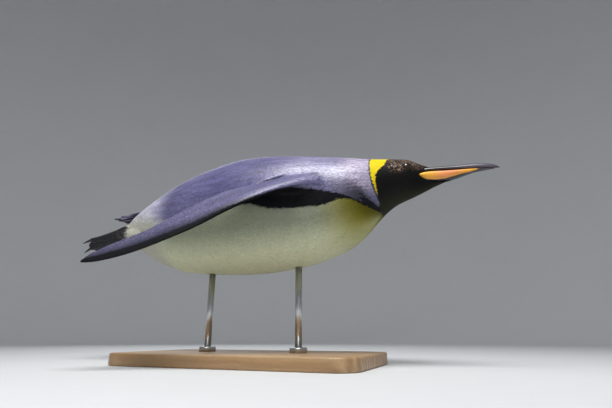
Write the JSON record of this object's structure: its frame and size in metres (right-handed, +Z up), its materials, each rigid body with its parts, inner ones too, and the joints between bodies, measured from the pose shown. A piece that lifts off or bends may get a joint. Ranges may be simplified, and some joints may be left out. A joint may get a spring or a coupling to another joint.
{
  "type": "king penguin figure",
  "caption": "Life-size still figure of a king penguin swimming with its flippers swept back, held on a flat oak base by steel rods.",
  "frame": {"origin": "centre of the underside of the display stand's base, at floor level", "axes": "+X towards the bill tip along the bird's body, +Y towards the bird's left side, +Z up"},
  "size_m": [0.8227, 0.4037, 0.378],
  "materials": {
    "feathers_back": "slate-blue scale-like feathers with a lavender sheen",
    "feathers_neck": "silvery slate-lavender scale-like feathers",
    "feathers_hood": "near-black hood with a brown shimmer and a yellow neck patch",
    "feathers_rump": "cream-white belly and vent feathers",
    "feathers_flipper": "slate flipper feathers, black leading edge, pale underside",
    "feathers_tail": "stiff blackish tail feathers",
    "bill_horn": "grey-black horn, satin",
    "bill_plate": "orange bill plate, smooth and slightly waxy",
    "eye": "dark brown glass eye, polished",
    "foot_skin": "dark scaly foot skin with paler edges",
    "claw_horn": "black horn, satin",
    "stand_oak": "oiled oak, satin",
    "stand_steel": "brushed"
  },
  "bodies": {
    "root": {"trunk": "feathers_back", "neck": "feathers_neck", "head": "feathers_hood", "bill_upper": "bill_horn", "bill_lower": "bill_plate", "eye_right": "eye", "flipper_right": "feathers_flipper", "leg_right": "feathers_rump", "foot_right": "foot_skin", "claw_right_inner": "claw_horn", "claw_right_middle": "claw_horn", "claw_right_outer": "claw_horn", "eye_left": "eye", "flipper_left": "feathers_flipper", "leg_left": "feathers_rump", "foot_left": "foot_skin", "claw_left_inner": "claw_horn", "claw_left_middle": "claw_horn", "claw_left_outer": "claw_horn", "tail": "feathers_tail", "stand_base": "stand_oak", "stand_rod_front": "stand_steel", "stand_ferrule_front": "stand_steel", "stand_rod_rear": "stand_steel", "stand_ferrule_rear": "stand_steel"}
  },
  "joints": []
}
